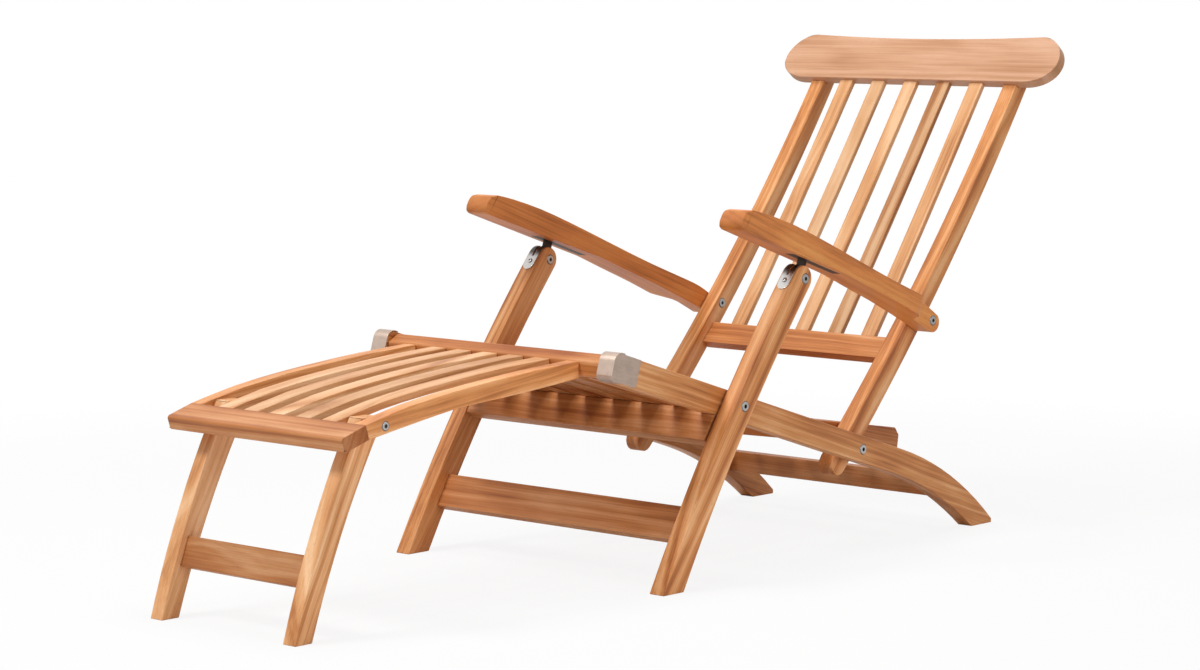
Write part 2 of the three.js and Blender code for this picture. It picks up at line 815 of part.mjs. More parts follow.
// A slat's face, which bows back behind the straight line between its ends.
function backSlatFace(behind) {
  const run = steps(bowSteps, (share) => {
    const along = share * (backSlatLength - fitGap);
    const sag = along * (backSlatLength - along) / (2 * backSlatBowRadius);
    return panelPoint(along, behind + sag);
  });
  return [bowPoint(-stileBowRadius, backRailTop + fitGap, behind), ...run.slice(1)];
}

function backSlat(middle) {
  const front = backSlatFace(backSlatSetback);
  const back = backSlatFace(backSlatSetback + backSlatThickness);
  return sideSolid([...front, ...back.reverse()], middle - backSlatWidth / 2, middle + backSlatWidth / 2);
}

// The headrest's outline from the front: a straight underside, full round ends, a hollow top.
function headrest() {
  const half = headrestLength / 2;
  const hornZ = headrestHeight + headrestHornRise;
  const wideZ = headrestHeight / 2;
  const underX = half - headrestUnderInset;
  const topX = half - headrestTopInset;
  const shape = new THREE.Shape();
  shape.moveTo(-underX, 0);
  shape.lineTo(underX, 0);
  shape.bezierCurveTo((underX + half) / 2, 0, half, wideZ / 3, half, wideZ);
  shape.bezierCurveTo(half, (wideZ + hornZ) / 2, (topX + half) / 2, hornZ, topX, hornZ);
  shape.quadraticCurveTo(0, headrestHeight - headrestHornRise, -topX, hornZ);
  shape.bezierCurveTo(-(topX + half) / 2, hornZ, -half, (wideZ + hornZ) / 2, -half, wideZ);
  shape.bezierCurveTo(-half, wideZ / 3, -(underX + half) / 2, 0, -underX, 0);
  return frontSolid(shape, 0, headrestThickness);
}

function buildBack(parent) {
  const back = bodyGroup(parent, backPivot, -stileLean);
  placePair(back, 'stile', stile(), () => timber(honey));
  place(back, 'back_rail', backRail(), timber(rose));
  slatMiddles(backSlatPitch).forEach((middle, index) => {
    place(back, `back_slat_${index + 1}`, backSlat(middle), timber(straw));
  });
  const panel = bodyGroup(back, panelPoint(backSlatLength, -headrestForward), panelTurn);
  place(panel, 'headrest', headrest(), timber(honey));
}

// Armrests: counted from the arm's tip bolt, level with the straight underside
const armReach = Math.hypot(armPivot[0] - topPivot[0], armPivot[1] - topPivot[1]);
const armSlope = Math.atan2(topPivot[1] - armPivot[1], armPivot[0] - topPivot[0]) + armUndersideTilt;
const topPivotOnArm = [-armReach * Math.cos(armUndersideTilt), -armReach * Math.sin(armUndersideTilt)];
const armUnderZ = topPivotOnArm[1] + armClearOfBolt;
const armTipOuterX = armInnerX + armTipWidth;

function armPoint([lengthShare, depthShare]) {
  return [-lengthShare * armLength, armUnderZ + depthShare * armDepth];
}

function armSide() {
  const tipCentre = armPoint(armTipCentreShares);
  const tip = arcPoints(tipCentre, armTipRadius, Math.PI / 3, -Math.PI / 2, roundSteps);
  const upper = smooth([...armTopShares.map(armPoint), tip[0]], 2 * bowSteps);
  const noseShares = [...armNoseShares].reverse();
  const nose = smooth([...noseShares, armTopShares[0]].map(armPoint), bowSteps);
  const belly = smooth([...armBellyShares].reverse().map(armPoint), bowSteps);
  return [...nose, ...upper.slice(1), ...tip.slice(1), ...belly];
}

function armPlan() {
  const frontY = -armLength - cutOverrun;
  const rearY = armTipRadius + cutOverrun;
  const middleY = -(armStepStart + armStepEnd) / 2;
  const shape = new THREE.Shape();
  shape.moveTo(armOuterX - armFrontWidth, frontY);
  shape.lineTo(armOuterX, frontY);
  shape.lineTo(armOuterX, -armStepStart);
  shape.bezierCurveTo(armOuterX, middleY, armTipOuterX, middleY, armTipOuterX, -armStepEnd);
  shape.lineTo(armTipOuterX, rearY);
  shape.lineTo(armInnerX, rearY);
  return shape;
}

function arm() {
  const side = sideSolid(armSide(), armInnerX - cutOverrun, armOuterX + cutOverrun);
  const plan = planSolid(armPlan(), armUnderZ - armDepth, armUnderZ + 2 * armDepth);
  const leafHalf = bracketLeafWidth / 2 + fitGap;
  const pocket = boxSolid(
    [postMidX - leafHalf, postMidX + leafHalf],
    [topPivotOnArm[0] - bracketLeafFront - fitGap, topPivotOnArm[0] + bracketLeafRear + fitGap],
    [armUnderZ - cutOverrun, armUnderZ + bracketThickness + fitGap],
  );
  return side.intersect(plan)
    .subtract(pocket)
    .subtract(boltHole(mainPivot, armInnerX, armTipOuterX, { outer: true }));
}

function armBracket() {
  const [eyeY, eyeZ] = topPivotOnArm;
  const leaf = boxSolid(
    [postMidX - bracketLeafWidth / 2, postMidX + bracketLeafWidth / 2],
    [eyeY - bracketLeafFront, eyeY + bracketLeafRear],
    [armUnderZ, armUnderZ + bracketThickness],
  );
  const tongueHalf = bracketThickness / 2;
  const tongueSide = [
    [eyeY - bracketTongueWidth / 2, armUnderZ + tongueHalf],
    ...arcPoints([eyeY, eyeZ], bracketEyeRadius, Math.PI, 2 * Math.PI),
    [eyeY + bracketTongueWidth / 2, armUnderZ + tongueHalf],
  ];
  const eye = crossRod(topBoltRadius + bracketPlay, postInnerX, postOuterX, topPivotOnArm);
  return leaf.add(sideSolid(tongueSide, postMidX - tongueHalf, postMidX + tongueHalf)).subtract(eye);
}

function buildArms(parent) {
  const arms = bodyGroup(parent, armPivot, -armSlope);
  placePair(arms, 'arm', arm(), () => timber(honey));
  placePair(arms, 'arm_bracket', armBracket(), steel);
  placePair(arms, 'arm_tip_bolt', boltSolid(mainPivot, stileInnerX, armTipOuterX), steel);
}

// Footrest: counted from its hinge axis; arched rails and slats run from the bar to the board
const barFrontY = hingeBarBehindAxis - hingeBarDepth;
const barTopZ = hingeBarAboveAxis;
const footrestStartZ = barTopZ - hingeBarAboveRails;

function footrestPoint([lengthShare, dropShare]) {
  return [barFrontY - lengthShare * footrestRailLength, footrestStartZ - dropShare * footrestDrop];
}

const footrestTop = new THREE.SplineCurve(
  footrestTopShares.map(footrestPoint).map(([y, z]) => new THREE.Vector2(y, z)),
);

// The top line, lowered square to itself and kept clear of the bar and the board.
function footrestTopLine(depth) {
  return steps(bowSteps, (share) => {
    const point = footrestTop.getPoint(share);
    const tangent = footrestTop.getTangent(share);
    const along = share === 0 ? barFrontY - fitGap : point.x - tangent.y * depth;
    return [along, point.y + tangent.x * depth];
  });
}

const boardTopRear = footrestPoint(footrestTopShares.at(-1));
const boardUnderRear = plus(boardTopRear, turned([0, -footrestBoardThickness], -footrestBoardTilt));

function footrestRail() {
  const under = smooth(footrestUnderShares.map(footrestPoint), bowSteps);
  const last = under.at(-1);
  const outline = [...footrestTopLine(0), ...under.slice(0, -1), [last[0] - fitGap, last[1]]];
  return sideSolid(outline, footrestInnerX, footrestOuterX)
    .subtract(boardClearance())
    .subtract(boltHole(legPivot, footrestInnerX, footrestOuterX, { outer: true, radius: screwHeadRadius }));
}

function footrestSlat(middle) {
  const outline = [...footrestTopLine(0), ...footrestTopLine(footrestSlatThickness).reverse()];
  return sideSolid(outline, middle - footrestSlatWidth / 2, middle + footrestSlatWidth / 2)
    .subtract(boardClearance());
}

function boardPoint(forward, down) {
  return plus(boardTopRear, turned([-forward, -down], -footrestBoardTilt));
}

// The board's space, grown at the back so that what meets it keeps the fit gap.
function boardClearance() {
  return sideSolid([
    boardPoint(-fitGap, -footrestBoardThickness),
    boardPoint(footrestBoardDepth, -footrestBoardThickness),
    boardPoint(footrestBoardDepth, 2 * footrestBoardThickness),
    boardPoint(-fitGap, 2 * footrestBoardThickness),
  ], -footrestOuterX - cutOverrun, footrestOuterX + cutOverrun);
}

function footrestBoard() {
  const radius = footrestBoardEdgeRadius;
  const frontMiddle = footrestBoardDepth - radius;
  const upper = arcPoints([frontMiddle, radius], radius, -Math.PI / 2, 0);
  const lower = arcPoints([frontMiddle, footrestBoardThickness - radius], radius, 0, Math.PI / 2);
  const outline = [[0, 0], ...upper, ...lower, [0, footrestBoardThickness]];
  const boardOutline = outline.map(([forward, down]) => boardPoint(forward, down));
  return sideSolid(boardOutline, -footrestOuterX, footrestOuterX);
}

function hingeBar() {
  const radius = hingeBarCornerRadius;
  const low = barTopZ - hingeBarHeight + radius;
  const high = barTopZ - radius;
  const front = barFrontY + radius;
  const rear = hingeBarBehindAxis - radius;
  const quarter = Math.PI / 2;
  const outline = [
    ...arcPoints([rear, high], radius, 0, quarter, roundSteps / 2),
    ...arcPoints([front, high - hingeBarFrontDrop], radius, quarter, 2 * quarter, roundSteps / 2),
    ...arcPoints([front, low], radius, 2 * quarter, 3 * quarter, roundSteps / 2),
    ...arcPoints([rear, low], radius, 3 * quarter, 4 * quarter, roundSteps / 2),
  ];
  const half = railInnerX - hingeBarEndGap;
  const pinEnd = railInnerX + hingePinLength - fitGap;
  return sideSolid(outline, -half, half).add(crossRod(hingePinRadius, -pinEnd, pinEnd, [0, 0]));
}

// Legs: their front faces rest on the board's lower back edge
const legHalf = legWidth / 2;
const legPivotZ = -legScrewDrop;
const legPivotHeight = mainPivotHeight + hingePivot[1] + legPivotZ;
const legContactReach = bowReach(legBowRadius, legLean, legPivotZ - boardUnderRear[1], -legHalf - fitGap);
const legContact = turned(bowPoint(legBowRadius, legContactReach, -legHalf - fitGap), legLean);
const legPivot = [boardUnderRear[0] - legContact[0], legPivotZ];

function legFloorReach(offset) {
  return bowReach(legBowRadius, legLean, legPivotHeight, offset);
}

// The leg tapers towards its foot, all of it on the rear edge.
// Its round crown is sawn off level, so that it hardly shows beside the slats.
function footrestLeg() {
  const heelOffset = legFootWidth - legHalf;
  const outline = [
    ...arcPoints([0, 0], legHalf, 0, Math.PI, 2 * roundSteps).slice(1, -1),
    ...bowEdge(legBowRadius, -legHalf, 0, legFloorReach(-legHalf)),
    ...bowEdge(legBowRadius, heelOffset, legFloorReach(heelOffset), 0, legHalf),
  ];
  const crown = [
    [-legWidth, legCrownRise], [legWidth, legCrownRise], [legWidth, legWidth], [-legWidth, legWidth],
  ].map((corner) => turned(corner, -legLean));
  return sideSolid(outline, legInnerX, legOuterX)
    .subtract(boltHole(mainPivot, legInnerX, legOuterX, { inner: true, radius: screwHeadRadius }))
    .subtract(sideSolid(crown, legInnerX - cutOverrun, legOuterX + cutOverrun));
}

function legStretcher() {
  const middle = bowReach(legBowRadius, legLean, legPivotHeight - legStretcherRise, 0);
  const top = middle + legStretcherHeight / 2;
  const under = middle - legStretcherHeight / 2;
  const face = legStretcherThickness / 2;
  const half = legInnerX - fitGap;
  return sideSolid([
    bowPoint(legBowRadius, top, -face),
    bowPoint(legBowRadius, top, face),
    bowPoint(legBowRadius, under, face),
    bowPoint(legBowRadius, under, -face),
  ], -half, half);
}

function buildFootrest(parent) {
  const footrest = bodyGroup(parent, hingePivot);
  placePair(footrest, 'footrest_rail', footrestRail(), () => timber(honey));
  slatMiddles(footrestSlatPitch).forEach((middle, index) => {
    place(footrest, `footrest_slat_${index + 1}`, footrestSlat(middle), timber(straw));
  });
  place(footrest, 'footrest_front_board', footrestBoard(), timber(rose));
  place(footrest, 'footrest_pivot_bar', hingeBar(), timber(rose));
  const screw = boltSolid(legPivot, legInnerX, footrestOuterX, boltRadius, screwHeadRadius);
  placePair(footrest, 'footrest_leg_screw', screw, steel);
  const legs = bodyGroup(footrest, legPivot, -legLean);
  placePair(legs, 'footrest_leg', footrestLeg(), () => timber(honey));
  place(legs, 'footrest_leg_stretcher', legStretcher(), timber(rose));
}

// The whole chair, standing on the floor with its middle over the origin
const chair = new THREE.Group();
const frame = bodyGroup(chair, [0, mainPivotHeight]);
buildSideFrame(frame);
buildSeat(frame);
buildPosts(frame);
buildBack(frame);
buildArms(frame);
buildFootrest(frame);

const reach = new THREE.Box3().setFromObject(chair, true);
frame.position.y = -(reach.min.y + reach.max.y) / 2;

export default chair;
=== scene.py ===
"""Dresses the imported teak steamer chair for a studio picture: timber, steel, light and camera."""

import logging
import math
import random
from collections.abc import Iterable
from dataclasses import dataclass, field, replace
from enum import Enum

import bmesh
import bpy
import numpy as np
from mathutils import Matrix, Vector

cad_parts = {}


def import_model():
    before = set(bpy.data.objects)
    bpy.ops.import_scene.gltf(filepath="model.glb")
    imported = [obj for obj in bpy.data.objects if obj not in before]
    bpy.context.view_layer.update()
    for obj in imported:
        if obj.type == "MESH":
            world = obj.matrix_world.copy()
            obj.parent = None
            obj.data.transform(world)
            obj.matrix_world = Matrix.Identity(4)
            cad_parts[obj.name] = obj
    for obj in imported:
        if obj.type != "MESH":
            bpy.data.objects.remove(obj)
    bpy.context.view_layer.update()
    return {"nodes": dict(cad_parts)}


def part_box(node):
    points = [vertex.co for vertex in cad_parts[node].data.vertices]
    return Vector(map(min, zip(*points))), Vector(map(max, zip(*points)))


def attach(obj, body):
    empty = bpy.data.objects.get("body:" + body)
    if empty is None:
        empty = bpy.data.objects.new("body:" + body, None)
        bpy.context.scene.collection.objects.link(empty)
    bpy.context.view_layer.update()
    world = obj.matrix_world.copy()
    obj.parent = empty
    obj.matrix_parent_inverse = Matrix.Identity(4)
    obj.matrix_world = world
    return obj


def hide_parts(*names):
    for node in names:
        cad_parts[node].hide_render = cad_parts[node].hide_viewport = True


MM = 0.001

# How far a hole's rim may reach, and how strongly it is eased, against 1 for an outer edge
HOLE_REACH = 34 * MM
HOLE_EASING = 0.25

# How near two corners are one, as a distance and as steps to the metre
SAME_PLACE = 0.02 * MM
SPOT_GRAIN = 2e5

# Where an edge turns enough to be eased, and how little a flat face may turn
EASED_COSINE = math.cos(math.radians(34))
FLAT_ANGLE = math.radians(0.06)

STRAP_STEPS = 8
TONE_SPREAD = 0.07

SIDEWAYS = Vector((1, 0, 0))
UPWARD = Vector((0, 0, 1))
ASKEW = Vector((0.31, 0.42, 0.85))

Colour = tuple[float, float, float]
Point = tuple[float, float, float]
Number = float | int

log = logging.getLogger("steamer_chair")


# Shader maths


class Value:
    """A socket of a material's graph that takes part in Python expressions."""

    def __init__(self, graph: "Graph", socket: bpy.types.NodeSocket) -> None:
        """Wrap one output socket of a graph."""
        self.graph = graph
        self.socket = socket

    def _maths(self, operation: str, first: "Value | Number", second: "Value | Number") -> "Value":
        """Join two operands with a Math node."""
        return self.graph.add("ShaderNodeMath", {"operation": operation}, {0: first, 1: second})

    def __add__(self, other: "Value | Number") -> "Value":
        """Add a value or a number."""
        return self._maths("ADD", self, other)

    def __radd__(self, other: Number) -> "Value":
        """Add to a number."""
        return self._maths("ADD", other, self)

    def __sub__(self, other: "Value | Number") -> "Value":
        """Take a value or a number away."""
        return self._maths("SUBTRACT", self, other)

    def __rsub__(self, other: Number) -> "Value":
        """Take this away from a number."""
        return self._maths("SUBTRACT", other, self)

    def __mul__(self, other: "Value | Number") -> "Value":
        """Multiply by a value or a number."""
        return self._maths("MULTIPLY", self, other)

    def __rmul__(self, other: Number) -> "Value":
        """Multiply a number."""
        return self._maths("MULTIPLY", other, self)

    def __abs__(self) -> "Value":
        """Drop the sign."""
        return self.graph.add("ShaderNodeMath", {"operation": "ABSOLUTE"}, {0: self})

    def eased(self, low: float, high: float) -> "Value":
        """Ease from 0 to 1 between two bounds.

        Args:
            low: where the result is 0.
            high: where the result is 1.

        Returns:
            The eased value.
        """
        settings = {"interpolation_type": "SMOOTHSTEP"}
        return self.graph.add("ShaderNodeMapRange", settings, {0: self, 1: low, 2: high})


class Graph:
    """A tree of shader nodes, emptied and filled again."""

    def __init__(self, tree: bpy.types.NodeTree) -> None:
        """Empty the tree."""
        self.tree = tree
        tree.nodes.clear()

    def node(
        self,
        kind: str,
        settings: dict | None = None,
        sockets: dict | None = None,
    ) -> bpy.types.Node:
        """Add a node with its settings made first and its sockets filled next.

        Args:
            kind: the node's type.
            settings: its properties; "stops" holds a ramp's places and colours.
            sockets: values or links by socket name or index.

        Returns:
            The node.
        """
        node = self.tree.nodes.new(kind)
        for key, value in (settings or {}).items():
            if key == "stops":
                self._set_stops(node, value)
            else:
                setattr(node, key, value)
        for key, value in (sockets or {}).items():
            self._fill(node.inputs[key], value)
        return node

    def add(
        self,
        kind: str,
        settings: dict | None = None,
        sockets: dict | None = None,
        output: int | str = 0,
    ) -> Value:
        """Add a node for the sake of one of its outputs.

        Args:
            kind: the node's type.
            settings: its properties.
            sockets: values or links by socket name or index.
            output: the output to hand back.

        Returns:
            The chosen output.
        """
        return Value(self, self.node(kind, settings, sockets).outputs[output])

    def _set_stops(self, node: bpy.types.Node, stops: list[tuple[float, Colour]]) -> None:
        """Write a ramp's places and colours."""
        elements = node.color_ramp.elements
        while len(elements) < len(stops):
            elements.new(1)
        for element, (place, colour) in zip(elements, stops):
            element.position = place
            element.color = (*colour, 1)

    def _fill(self, socket: bpy.types.NodeSocket, value: "Value | Number | tuple") -> None:
        """Link a value to a socket, or set the socket to a constant."""
        if isinstance(value, Value):
            self.tree.links.new(value.socket, socket)
        elif isinstance(value, tuple) and len(value) < len(socket.default_value):
            socket.default_value = (*value, 1)
        else:
            socket.default_value = value

    def place(self) -> Value:
        """Read the point in the piece's own space."""
        return self.add("ShaderNodeTexCoord", output="Object")

    def facing(self) -> Value:
        """Read the surface direction in the piece's own space."""
        return self.add("ShaderNodeTexCoord", output="Normal")

    def along(self, vector: Value, axis: Vector) -> Value:
        """Measure a vector along an axis."""
        sockets = {0: vector, 1: tuple(axis)}
        return self.add("ShaderNodeVectorMath", {"operation": "DOT_PRODUCT"}, sockets, "Value")

    def length(self, vector: Value) -> Value:
        """Measure how long a vector is."""
        return self.add("ShaderNodeVectorMath", {"operation": "LENGTH"}, {0: vector}, "Value")

    def noise(self, scale: float, detail: float, **where: "Value | Number") -> Value:
        """Sample noise.

        Args:
            scale: how fine it is.
            detail: how many finer layers it has.
            **where: Vector for noise in space, or W for noise along a line.

        Returns:
            The noise, around a half.
        """
        settings = {"noise_dimensions": "1D" if "W" in where else "3D"}
        return self.add("ShaderNodeTexNoise", settings, {"Scale": scale, "Detail": detail, **where})

    def joined(self, x: "Value | Number", y: "Value | Number", z: "Value | Number") -> Value:
        """Join three values into a vector."""
        return self.add("ShaderNodeCombineXYZ", None, {0: x, 1: y, 2: z})

    def blend(self, share: Value, first: "Value | Colour", second: Colour) -> Value:
        """Blend two colours.

        Args:
            share: how much of the second shows.
            first: the colour below.
            second: the colour above.

        Returns:
            The blended colour.
        """
        return self.add("ShaderNodeMix", {"data_type": "RGBA"}, {0: share, 6: first, 7: second}, 2)


class Surface(Graph):
    """A material's nodes around one Principled shader."""

    def __init__(self, name: str) -> None:
        """Start a material with a bare shader."""
        self.material = bpy.data.materials.new(name)
        self.material.use_nodes = True
        super().__init__(self.material.node_tree)
        self.shader = self.node("ShaderNodeBsdfPrincipled")
        self.lit = Value(self, self.shader.outputs[0])
        self.output = self.node("ShaderNodeOutputMaterial", {"is_active_output": True})
        self.show(self.lit)

    def show(self, shader: Value) -> None:
        """Show a shader on the surface, in the place of the one before."""
        self._fill(self.output.inputs["Surface"], shader)

    def surface(self, **sockets: "Value | Number | tuple") -> None:
        """Fill the shader's sockets; an underscore in a name stands for a space."""
        for key, value in sockets.items():
            self._fill(self.shader.inputs[key.replace("_", " ")], value)

    def relief(self, height: Value, depth: float) -> None:
        """Raise fine relief on the surface, to a depth in metres."""
        sockets = {"Strength": 1.0, "Distance": depth, "Height": height}
        self._fill(self.shader.inputs["Normal"], self.add("ShaderNodeBump", None, sockets))


@dataclass(frozen=True)
class Grain:
    """Noise that is drawn out along one direction.

    Attributes:
        along: its waves to the metre along that direction.
        across: its waves to the metre square to it.
        layers: how many finer layers it has.
    """

    along: float
    across: float
    layers: int

    def sample(
        self,
        graph: Graph,
        along: Value,
        across: Value,
        other: Value,
        shift: float = 0,
    ) -> Value:
        """Sample the noise.

        Args:
            graph: the graph of the material.
            along: the place along the direction, in metres.
            across: the place square to it.
            other: the place square to both.
            shift: how far along to start, in waves.

        Returns:
            The noise, around a half.
        """
        start = along * self.along + shift
        where = graph.joined(start, across * self.across, other * self.across)
        return graph.noise(1, self.layers, Vector=where)


# Timber


@dataclass(frozen=True)
class Board:
    """How a board lies: its middle and its directions along, across and through."""

    middle: Vector
    along: Vector
    across: Vector
    through: Vector

    @classmethod
    def of(cls, piece: bpy.types.Object) -> "Board":
        """Find how a board lies from where its corners are.

        Args:
            piece: the board.

        Returns:
            Its middle, and its directions from the longest to the shortest.
        """
        corners = np.array([vertex.co for vertex in piece.data.vertices], float)
        middle = corners.mean(axis=0)
        _, _, axes = np.linalg.svd(corners - middle, full_matrices=False)
        return cls(Vector(middle), *map(Vector, axes))


@dataclass(frozen=True)
class TeakFinish:
    """Oiled teak: the colours between its rings, how it is figured and how it shines.

    Shares run from 0 to 1 and lengths are in metres.
    """

    pale: Colour
    middle: Colour
    deep: Colour
    figure: float = 0.5
    end_from: float = 0.72
    end_span: float = 0.21
    end_shade: float = 0.5
    end_roughness: float = 0.15
    heart_across: tuple[float, float] = (0.02, 0.07)
    heart_through: tuple[float, float] = (0.02, 0.06)
    log_reach: float = 50
    ring_pitch: float = 9 * MM
    ring_layers: int = 3
    ring_wander: tuple[float, float] = (0.03, 0.02)
    ring_contrast: float = 1.5
    drifts: Grain = Grain(3.2, 9, 2)
    fibres: Grain = Grain(7, 420, 3)
    fibre_contrast: float = 0.5
    fibre_height: float = 0.6
    pores: Grain = Grain(55, 1500, 1)
    pore_bounds: tuple[float, float] = (0.62, 0.72)
    pore_shade: float = 0.35
    pore_depth: float = 0.5
    clouds: Grain = Grain(5, 22, 2)
    cloud_contrast: float = 0.95
    colour_places: tuple[float, float, float] = (0.18, 0.5, 0.8)
    roughness: float = 0.42
    roughness_spread: float = 0.25
    gloss: float = 0.34
    oil_index: float = 1.47
    relief: float = 0.12 * MM

    def toned(self, shift: float) -> "TeakFinish":
        """Make the same teak lighter or darker.

        Args:
            shift: the share by which its colours rise, or fall if it is negative.

        Returns:
            The new finish.
        """
        def moved(colour: Colour) -> Colour:
            """Scale one colour."""
            return tuple(min(part * (1 + shift), 1.0) for part in colour)

        pale, middle, deep = moved(self.pale), moved(self.middle), moved(self.deep)
        return replace(self, pale=pale, middle=middle, deep=deep)

    def material(self, name: str, board: Board) -> bpy.types.Material:
        """Make the material of one board, cut from its own place in the log.

        Args:
            name: the board's name, which also seeds its figure.
            board: how the board lies.

        Returns:
            The material.
        """
        chance = random.Random(name)
        graph = Surface(f"teak_{name}")
        place = graph.place()
        along = graph.along(place, board.along)
        across = graph.along(place, board.across) + chance.uniform(*self.heart_across)
        through = graph.along(place, board.through) + chance.uniform(*self.heart_through)
        start = chance.uniform(0, self.log_reach)
        here = (along, across, through)
        drift = self.drifts.sample(graph, *here, start) - 0.5
        wander_across, wander_through = self.ring_wander
        ring_way = graph.joined(0, across + drift * wander_across, through + drift * wander_through)
        rings = graph.noise(1 / self.ring_pitch, self.ring_layers, W=graph.length(ring_way) + start)
        fibres = self.fibres.sample(graph, *here, start)
        pores = self.pores.sample(graph, *here, start).eased(*self.pore_bounds)
        clouds = self.clouds.sample(graph, *here, -start)
        ring_share = (rings - 0.5) * (self.ring_contrast * self.figure)
        fibre_share = (fibres - 0.5) * self.fibre_contrast
        figure = ring_share + fibre_share + (clouds - 0.5) * self.cloud_contrast + 0.5
        stops = list(zip(self.colour_places, (self.deep, self.middle, self.pale)))
        colour = graph.add("ShaderNodeValToRGB", {"stops": stops}, {0: figure})
        endways = abs(graph.along(graph.facing(), board.along))
        sawn_end = endways.eased(self.end_from, self.end_from + self.end_span)
        colour = graph.blend(pores * self.pore_shade, colour, self.deep)
        colour = graph.blend(sawn_end * self.end_shade, colour, self.deep)
        unevenness = (fibres - 0.5) * self.roughness_spread + sawn_end * self.end_roughness
        graph.surface(Base_Color=colour, Roughness=unevenness + self.roughness)
        graph.surface(Specular_IOR_Level=self.gloss, IOR=self.oil_index)
        graph.relief(fibres * self.fibre_height - pores * self.pore_depth, self.relief)
        return graph.material


class Timber(Enum):
    """The colours of teak that the chair is made of."""

    STRAW = TeakFinish((0.84, 0.52, 0.29), (0.70, 0.35, 0.15), (0.44, 0.16, 0.045), 0.6)
    HONEY = TeakFinish((0.80, 0.43, 0.20), (0.62, 0.25, 0.078), (0.34, 0.10, 0.024), 0.6)
    ROSE = TeakFinish((0.70, 0.34, 0.15), (0.53, 0.195, 0.056), (0.31, 0.084, 0.018), 0.6)
    AMBER = TeakFinish(
        (0.78, 0.33, 0.09), (0.67, 0.228, 0.055), (0.37, 0.11, 0.025), 0.4, end_from=0.45
    )
    BLUSH = TeakFinish((0.70, 0.41, 0.26), (0.61, 0.325, 0.185), (0.44, 0.20, 0.09), 0.35)


# Steel


@dataclass(frozen=True)
class Head:
    """A screw's head: its socket's radius, and the one past which painted shade darkens its rim."""

    socket: float
    rim: float


@dataclass(frozen=True)
class Hub:
    """Where a screw's head lies, and how much painted shade darkens its socket and rim."""

    middle: Vector
    axis: Vector
    head: Head
    # How far and how strongly painted shade darkens the socket and the rim
    socket_bounds: tuple[float, float] = (0.8, 1.15)
    rim_bounds: tuple[float, float] = (1.0, 1.18)
    socket_painted_shade: float = 0.95
    rim_painted_shade: float = 0.6

    def shade(self, graph: Graph, place: Value) -> Value:
        """Find where painted shade darkens the head: in its socket and, less so, round its rim.

        Args:
            graph: the graph of the screw's material.
            place: the point in the piece's own space.

        Returns:
            The painted shade, from 0 to 1.
        """
        from_middle = {0: place, 1: tuple(self.middle)}
        away = graph.add("ShaderNodeVectorMath", {"operation": "SUBTRACT"}, from_middle)
        crossed = {0: away, 1: tuple(self.axis)}
        across = graph.add("ShaderNodeVectorMath", {"operation": "CROSS_PRODUCT"}, crossed)
        reach = graph.length(across)
        socket = 1 - reach.eased(*(share * self.head.socket for share in self.socket_bounds))
        rim = reach.eased(*(share * self.head.rim for share in self.rim_bounds))
        return socket * self.socket_painted_shade + rim * self.rim_painted_shade


@dataclass(frozen=True)
class SteelFinish:
    """Stainless steel, brushed one way.

    Shares run from 0 to 1, lengths are in metres, and fineness is in waves to the metre.
    """

    colour: Colour
    roughness: float
    brushing: Vector = field(default_factory=UPWARD.copy)
    scratch: float = 0.25
    dullness: float = 0.0
    stain: Colour = (0.30, 0.24, 0.19)
    scratch_colour: Colour = (0.12, 0.11, 0.10)
    scratch_from: float = 0.35
    # Near-black painted shade for a screw's socket and rim
    painted_shade_colour: Colour = (0.015, 0.013, 0.012)
    # Painted dark reflection on the upper part of a bent strap, and how strongly it darkens
    painted_reflection_dark: Colour = (0.03, 0.026, 0.024)
    painted_reflection_share: float = 0.88
    stain_fineness: float = 90
    stain_layers: int = 2
    stain_bounds: tuple[float, float] = (0.35, 0.75)
    brushed: Grain = Grain(60, 2400, 2)
    roughness_spread: float = 0.3
    relief: float = 0.03 * MM

    def material(
        self, name: str, hub: Hub | None = None, bend: tuple[float, float] | None = None
    ) -> bpy.types.Material:
        """Make the steel's material.

        Args:
            name: the material's name.
            hub: the head's axis, where the piece is a screw whose socket and rim take painted
                shade.
            bend: the heights between which a painted dark reflection darkens the piece upward,
                where it has a bend.

        Returns:
            The material.
        """
        graph = Surface(f"steel_{name}")
        place = graph.place()
        sideways = self.brushing.cross(ASKEW).normalized()
        here = [graph.along(place, way) for way in (self.brushing, sideways, SIDEWAYS)]
        brushed = self.brushed.sample(graph, *here)
        stains = graph.noise(self.stain_fineness, self.stain_layers, Vector=place)
        stained = stains.eased(*self.stain_bounds) * self.dullness
        colour = graph.blend(stained, self.colour, self.stain)
        scratches = (brushed - self.scratch_from) * self.scratch
        colour = graph.blend(scratches, colour, self.scratch_colour)
        if hub:
            # Painted shade: the head is darkened in its socket and round its rim
            colour = graph.blend(hub.shade(graph, place), colour, self.painted_shade_colour)
        # Painted dark reflection: the steel darkens upward between the given heights
        if bend:
            height = graph.along(place, UPWARD)
            colour = graph.blend(height.eased(*bend) * self.painted_reflection_share, colour, self.painted_reflection_dark)
        graph.surface(Base_Color=colour, Metallic=1.0)
        graph.surface(Roughness=(brushed - 0.5) * self.roughness_spread + self.roughness)
        graph.relief(brushed, self.relief)
        return graph.material


class Steel(Enum):
    """The ways the steel pieces are finished."""

    BRIGHT = SteelFinish((0.60, 0.58, 0.56), 0.26)
    PLATE = SteelFinish((0.55, 0.425, 0.35), 0.42, Vector((0, 1, -0.3)), 0.4, 0.25)
    # Near-black steel as painted shade, for the arm brackets that lie in shade under the arms
    PAINTED_SHADE_DARK = SteelFinish((0.07, 0.06, 0.055), 0.5)


# Shaping


